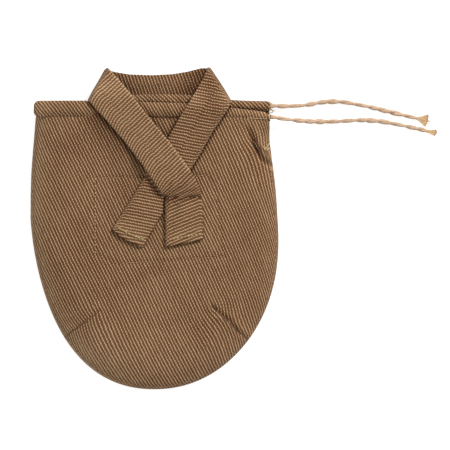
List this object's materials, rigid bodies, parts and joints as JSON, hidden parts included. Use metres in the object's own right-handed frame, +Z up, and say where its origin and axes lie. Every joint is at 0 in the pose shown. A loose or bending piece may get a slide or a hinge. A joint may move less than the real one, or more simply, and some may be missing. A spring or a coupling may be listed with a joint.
{
  "type": "treat pouch",
  "caption": "Flat-lying ribbed twill drawstring pouch with a rounded bottom, corner darts, a crossed collar strap with two short tails and jute twine ends at one side.",
  "frame": {"origin": "centre of the pouch's plan, without the drawstring's free ends, on the surface it lies on", "axes": "+X to the right towards the drawstring's free ends, +Y from the rounded bottom to the mouth, +Z up out of the front panel"},
  "size_m": [0.2238, 0.1775, 0.0162],
  "materials": {
    "twill": "ribbed cotton twill, matte",
    "jute_twine": "twisted jute, matte",
    "sewing_thread": "ochre sewing thread"
  },
  "bodies": {
    "pouch": {"front_panel": "twill", "back_panel": "twill", "front_casing": "twill", "back_casing": "twill", "inner_patch": "twill", "collar_back_band": "twill", "left_lapel": "twill", "right_lapel": "twill", "side_seam_stitching": "sewing_thread", "front_casing_stitching": "sewing_thread", "back_casing_stitching": "sewing_thread", "left_dart_stitching": "sewing_thread", "right_dart_stitching": "sewing_thread", "patch_stitching": "sewing_thread", "collar_band_stitching": "sewing_thread", "left_lapel_stitching": "sewing_thread", "right_lapel_stitching": "sewing_thread", "slit_bar_tack": "sewing_thread"},
    "drawstring": {"drawstring_front_run": "jute_twine", "drawstring_back_run": "jute_twine", "drawstring_turn": "jute_twine", "drawstring_front_end": "jute_twine", "drawstring_back_end": "jute_twine"},
    "left_tail": {"left_tail": "twill", "left_tail_stitching": "sewing_thread"},
    "right_tail": {"right_tail": "twill", "right_tail_stitching": "sewing_thread"}
  },
  "joints": [
    {"name": "drawstring_pull", "type": "slide", "parent": "pouch", "child": "drawstring", "axis": [1, 0, 0], "range_m": [0, 0.03], "deforming": ["drawstring_front_run", "drawstring_turn"]},
    {"name": "left_tail_lift", "type": "hinge", "parent": "pouch", "child": "left_tail", "pos_m": [-0.00035, 0.0228, 0.0124], "axis": [-0.6077, 0.7942, 0], "range_deg": [0, 60]},
    {"name": "right_tail_lift", "type": "hinge", "parent": "pouch", "child": "right_tail", "pos_m": [0.01615, 0.0163, 0.01435], "axis": [-0.9992, -0.0405, 0], "range_deg": [0, 110]}
  ]
}
